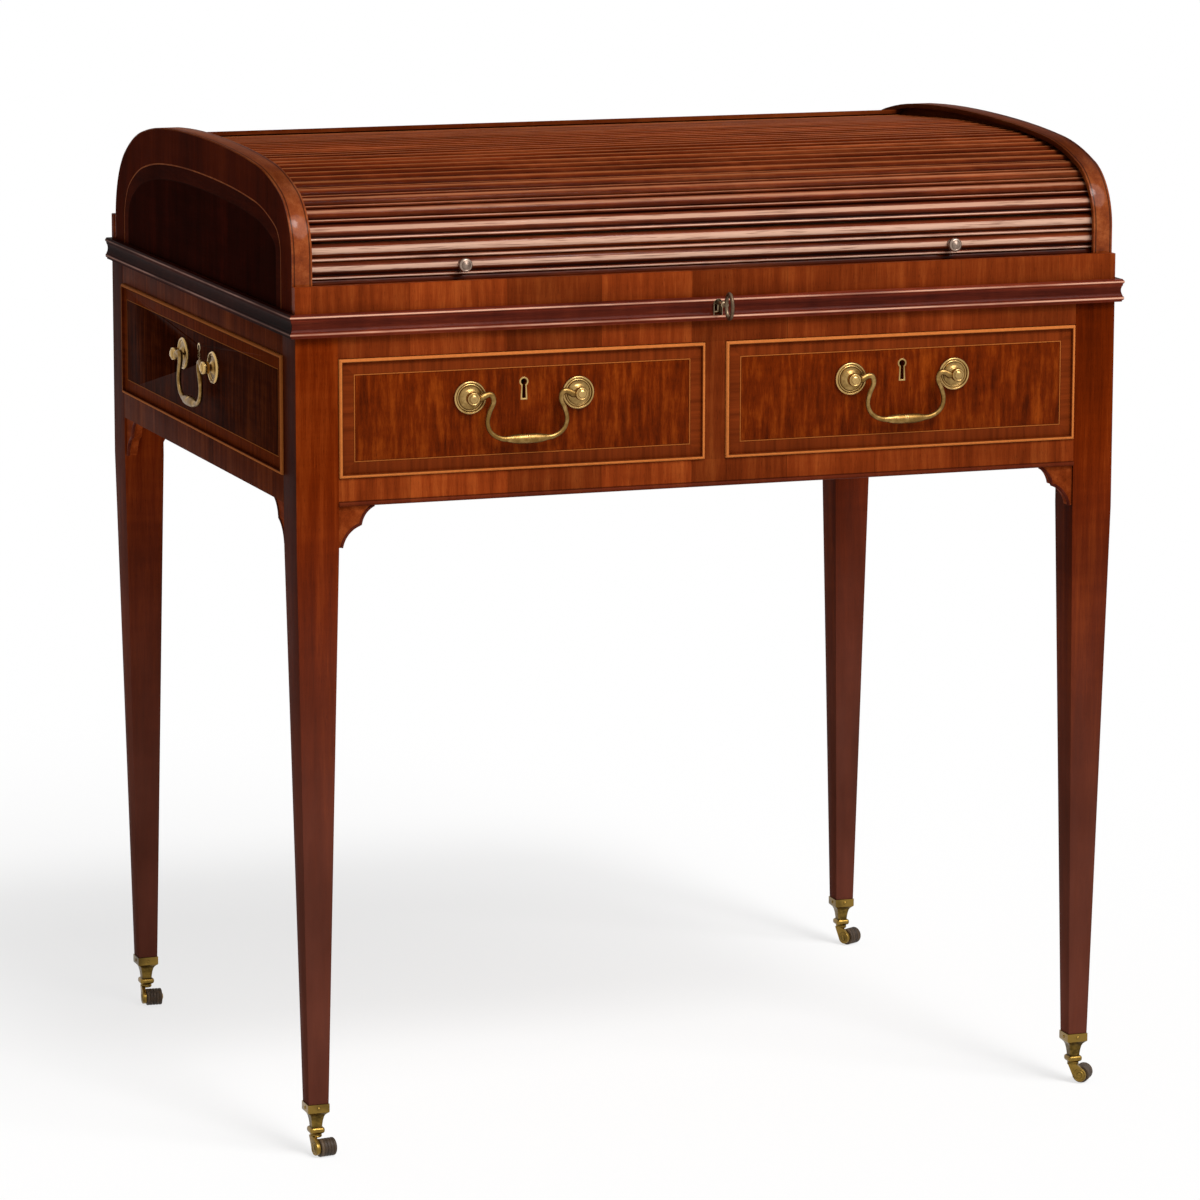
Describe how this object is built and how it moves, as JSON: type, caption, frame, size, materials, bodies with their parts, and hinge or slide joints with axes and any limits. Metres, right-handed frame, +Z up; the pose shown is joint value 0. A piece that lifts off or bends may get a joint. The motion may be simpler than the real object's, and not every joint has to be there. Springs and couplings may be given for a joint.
{
  "type": "tambour writing desk",
  "caption": "Mahogany writing desk on tapered legs with casters, a roll-back slatted curtain, a pull-out writing slide, and inlaid drawers with swan-neck handles.",
  "frame": {"origin": "on the floor, under the centre of the desk's bounding box", "axes": "+X to the desk's right as seen from the front, +Y from the front to the back, +Z up"},
  "size_m": [0.8348, 0.677, 0.9158],
  "materials": {
    "leg_mahogany": "french polished mahogany",
    "case_mahogany": "french polished mahogany veneer",
    "drawer_veneer": "french polished figured mahogany with a boxwood bead",
    "moulding_mahogany": "french polished mahogany",
    "tambour_mahogany": "polished mahogany reeds",
    "carcass_wood": "unpolished carcass wood",
    "handle_brass": "aged lacquered brass",
    "caster_bronze": "dark aged brass",
    "lock_metal": "worn iron",
    "wheel_leather": "stacked dark leather",
    "desk_leather": "plain writing leather"
  },
  "bodies": {
    "case": {"leg_front_left": "leg_mahogany", "leg_front_right": "leg_mahogany", "leg_back_left": "leg_mahogany", "leg_back_right": "leg_mahogany", "caster_cups": "caster_bronze", "front_rails": "case_mahogany", "side_rails": "case_mahogany", "back_panel": "carcass_wood", "rear_rail": "case_mahogany", "case_mouldings": "moulding_mahogany", "corner_brackets": "case_mahogany", "case_runners": "carcass_wood", "end_panel_left": "case_mahogany", "end_panel_right": "case_mahogany", "rear_cover": "case_mahogany", "pigeonhole_nest": "case_mahogany", "side_front_left": "drawer_veneer", "side_front_right": "drawer_veneer", "side_posts": "handle_brass"},
    "slide": {"slide_front": "case_mahogany", "slide_moulding": "moulding_mahogany", "slide_board": "case_mahogany", "slide_leather": "desk_leather", "slide_lock": "lock_metal"},
    "bolt": {"lock_bolt": "lock_metal"},
    "key": {"key": "lock_metal"},
    "drawer_left": {"drawer_front_left": "drawer_veneer", "drawer_box_left": "carcass_wood", "drawer_brass_left": "handle_brass"},
    "drawer_bail_left": {"drawer_bail_left": "handle_brass"},
    "side_bail_left": {"side_bail_left": "handle_brass"},
    "drawer_right": {"drawer_front_right": "drawer_veneer", "drawer_box_right": "carcass_wood", "drawer_brass_right": "handle_brass"},
    "drawer_bail_right": {"drawer_bail_right": "handle_brass"},
    "side_bail_right": {"side_bail_right": "handle_brass"},
    "fork_front_left": {"caster_fork_front_left": "caster_bronze"},
    "wheel_front_left": {"caster_wheel_front_left": "wheel_leather"},
    "fork_front_right": {"caster_fork_front_right": "caster_bronze"},
    "wheel_front_right": {"caster_wheel_front_right": "wheel_leather"},
    "fork_back_left": {"caster_fork_back_left": "caster_bronze"},
    "wheel_back_left": {"caster_wheel_back_left": "wheel_leather"},
    "fork_back_right": {"caster_fork_back_right": "caster_bronze"},
    "wheel_back_right": {"caster_wheel_back_right": "wheel_leather"},
    "curtain_lead": {"tambour_lead": "tambour_mahogany", "tambour_knobs": "handle_brass"},
    "curtain_f1": {"tambour_f1": "tambour_mahogany"},
    "curtain_f2": {"tambour_f2": "tambour_mahogany"},
    "curtain_f3": {"tambour_f3": "tambour_mahogany"},
    "curtain_f4": {"tambour_f4": "tambour_mahogany"},
    "curtain_f5": {"tambour_f5": "tambour_mahogany"},
    "curtain_f6": {"tambour_f6": "tambour_mahogany"},
    "curtain_f7": {"tambour_f7": "tambour_mahogany"},
    "curtain_top": {"tambour_top": "tambour_mahogany"},
    "curtain_b1": {"tambour_b1": "tambour_mahogany"},
    "curtain_b2": {"tambour_b2": "tambour_mahogany"},
    "curtain_b3": {"tambour_b3": "tambour_mahogany"},
    "curtain_b4": {"tambour_b4": "tambour_mahogany"},
    "curtain_tail": {"tambour_tail": "tambour_mahogany"}
  },
  "joints": [
    {"name": "slide_pull", "type": "slide", "parent": "case", "child": "slide", "axis": [0, -1, 0], "range_m": [0, 0.2]},
    {"name": "key_turn", "type": "hinge", "parent": "slide", "child": "key", "pos_m": [0, -0.2935, 0.7796], "axis": [0, 1, 0], "range_deg": [0, 90]},
    {"name": "bolt_shoot", "type": "slide", "parent": "slide", "child": "bolt", "axis": [0, 0, 1], "range_m": [0, 0.0045]},
    {"name": "drawer_pull_left", "type": "slide", "parent": "case", "child": "drawer_left", "axis": [0, -1, 0], "range_m": [0, 0.36]},
    {"name": "drawer_bail_swing_left", "type": "hinge", "parent": "drawer_left", "child": "drawer_bail_left", "pos_m": [-0.1864, -0.3031, 0.7024], "axis": [-1, 0, 0], "range_deg": [0, 95]},
    {"name": "drawer_pull_right", "type": "slide", "parent": "case", "child": "drawer_right", "axis": [0, -1, 0], "range_m": [0, 0.36]},
    {"name": "drawer_bail_swing_right", "type": "hinge", "parent": "drawer_right", "child": "drawer_bail_right", "pos_m": [0.1864, -0.3031, 0.7024], "axis": [-1, 0, 0], "range_deg": [0, 95]},
    {"name": "side_bail_swing_left", "type": "hinge", "parent": "case", "child": "side_bail_left", "pos_m": [-0.4126, 0.0225, 0.7024], "axis": [0, 1, 0], "range_deg": [0, 95]},
    {"name": "side_bail_swing_right", "type": "hinge", "parent": "case", "child": "side_bail_right", "pos_m": [0.4126, 0.0225, 0.7024], "axis": [0, -1, 0], "range_deg": [0, 95]},
    {"name": "swivel_front_left", "type": "hinge", "parent": "case", "child": "fork_front_left", "pos_m": [-0.383, -0.2735, 0.0195], "axis": [0, 0, 1], "continuous": true},
    {"name": "roll_front_left", "type": "hinge", "parent": "fork_front_left", "child": "wheel_front_left", "pos_m": [-0.3755, -0.2803, 0.0086], "axis": [0.9848, 0.1736, 0], "continuous": true},
    {"name": "swivel_front_right", "type": "hinge", "parent": "case", "child": "fork_front_right", "pos_m": [0.383, -0.2735, 0.0195], "axis": [0, 0, 1], "continuous": true},
    {"name": "roll_front_right", "type": "hinge", "parent": "fork_front_right", "child": "wheel_front_right", "pos_m": [0.39311, -0.27389, 0.0086], "axis": [0.6428, 0.766, 0], "continuous": true},
    {"name": "swivel_back_left", "type": "hinge", "parent": "case", "child": "fork_back_left", "pos_m": [-0.383, 0.3185, 0.0195], "axis": [0, 0, 1], "continuous": true},
    {"name": "roll_back_left", "type": "hinge", "parent": "fork_back_left", "child": "wheel_back_left", "pos_m": [-0.37752, 0.30999, 0.0086], "axis": [0.9962, -0.0872, 0], "continuous": true},
    {"name": "swivel_back_right", "type": "hinge", "parent": "case", "child": "fork_back_right", "pos_m": [0.383, 0.3185, 0.0195], "axis": [0, 0, 1], "continuous": true},
    {"name": "roll_back_right", "type": "hinge", "parent": "fork_back_right", "child": "wheel_back_right", "pos_m": [0.39223, 0.31435, 0.0086], "axis": [0.8829, 0.4695, 0], "continuous": true},
    {"name": "curtain_slide", "type": "slide", "parent": "case", "child": "curtain_top", "axis": [0, 1, 0], "range_m": [0, 0.236]},
    {"name": "fold_lead", "type": "hinge", "parent": "curtain_f1", "child": "curtain_lead", "pos_m": [0, -0.2707, 0.8451], "axis": [-1, 0, 0], "range_deg": [0, 26]},
    {"name": "fold_f1", "type": "hinge", "parent": "curtain_f2", "child": "curtain_f1", "pos_m": [0, -0.26347, 0.85993], "axis": [-1, 0, 0], "range_deg": [0, 22]},
    {"name": "fold_f2", "type": "hinge", "parent": "curtain_f3", "child": "curtain_f2", "pos_m": [0, -0.25121, 0.87097], "axis": [-1, 0, 0], "range_deg": [0, 14]},
    {"name": "fold_f3", "type": "hinge", "parent": "curtain_f4", "child": "curtain_f3", "pos_m": [0, -0.23664, 0.87872], "axis": [-1, 0, 0], "range_deg": [0, 8]},
    {"name": "fold_f4", "type": "hinge", "parent": "curtain_f5", "child": "curtain_f4", "pos_m": [0, -0.22113, 0.88436], "axis": [-1, 0, 0], "range_deg": [0, 6]},
    {"name": "fold_f5", "type": "hinge", "parent": "curtain_f6", "child": "curtain_f5", "pos_m": [0, -0.20512, 0.88835], "axis": [-1, 0, 0], "range_deg": [0, 5.5]},
    {"name": "fold_f6", "type": "hinge", "parent": "curtain_f7", "child": "curtain_f6", "pos_m": [0, -0.15616, 0.89567], "axis": [-1, 0, 0], "range_deg": [0, 4.5]},
    {"name": "fold_f7", "type": "hinge", "parent": "curtain_top", "child": "curtain_f7", "pos_m": [0, -0.10679, 0.89912], "axis": [-1, 0, 0], "range_deg": [0, 4]},
    {"name": "fold_b1", "type": "hinge", "parent": "curtain_top", "child": "curtain_b1", "pos_m": [0, -0.09029, 0.89912], "axis": [-1, 0, 0], "range_deg": [0, 18]},
    {"name": "fold_b2", "type": "hinge", "parent": "curtain_b1", "child": "curtain_b2", "pos_m": [0, -0.05729, 0.89912], "axis": [-1, 0, 0], "range_deg": [0, 18]},
    {"name": "fold_b3", "type": "hinge", "parent": "curtain_b2", "child": "curtain_b3", "pos_m": [0, -0.02429, 0.89912], "axis": [-1, 0, 0], "range_deg": [0, 17.5]},
    {"name": "fold_b4", "type": "hinge", "parent": "curtain_b3", "child": "curtain_b4", "pos_m": [0, 0.00871, 0.89883], "axis": [-1, 0, 0], "range_deg": [0, 17.5]},
    {"name": "fold_tail", "type": "hinge", "parent": "curtain_b4", "child": "curtain_tail", "pos_m": [0, 0.04171, 0.89826], "axis": [-1, 0, 0], "range_deg": [0, 15.5]}
  ],
  "couplings": [
    {"joint": "bolt_shoot", "follows": "key_turn", "m_per_rad": 0.0028647},
    {"joint": "fold_lead", "follows": "curtain_slide", "rad_per_m": 1.9228},
    {"joint": "fold_f1", "follows": "curtain_slide", "rad_per_m": 1.627},
    {"joint": "fold_f2", "follows": "curtain_slide", "rad_per_m": 1.0354},
    {"joint": "fold_f3", "follows": "curtain_slide", "rad_per_m": 0.59164},
    {"joint": "fold_f4", "follows": "curtain_slide", "rad_per_m": 0.44373},
    {"joint": "fold_f5", "follows": "curtain_slide", "rad_per_m": 0.40675},
    {"joint": "fold_f6", "follows": "curtain_slide", "rad_per_m": 0.3328},
    {"joint": "fold_f7", "follows": "curtain_slide", "rad_per_m": 0.29582},
    {"joint": "fold_b1", "follows": "curtain_slide", "rad_per_m": 1.3312},
    {"joint": "fold_b2", "follows": "curtain_slide", "rad_per_m": 1.3312},
    {"joint": "fold_b3", "follows": "curtain_slide", "rad_per_m": 1.2942},
    {"joint": "fold_b4", "follows": "curtain_slide", "rad_per_m": 1.2942},
    {"joint": "fold_tail", "follows": "curtain_slide", "rad_per_m": 1.1463}
  ]
}
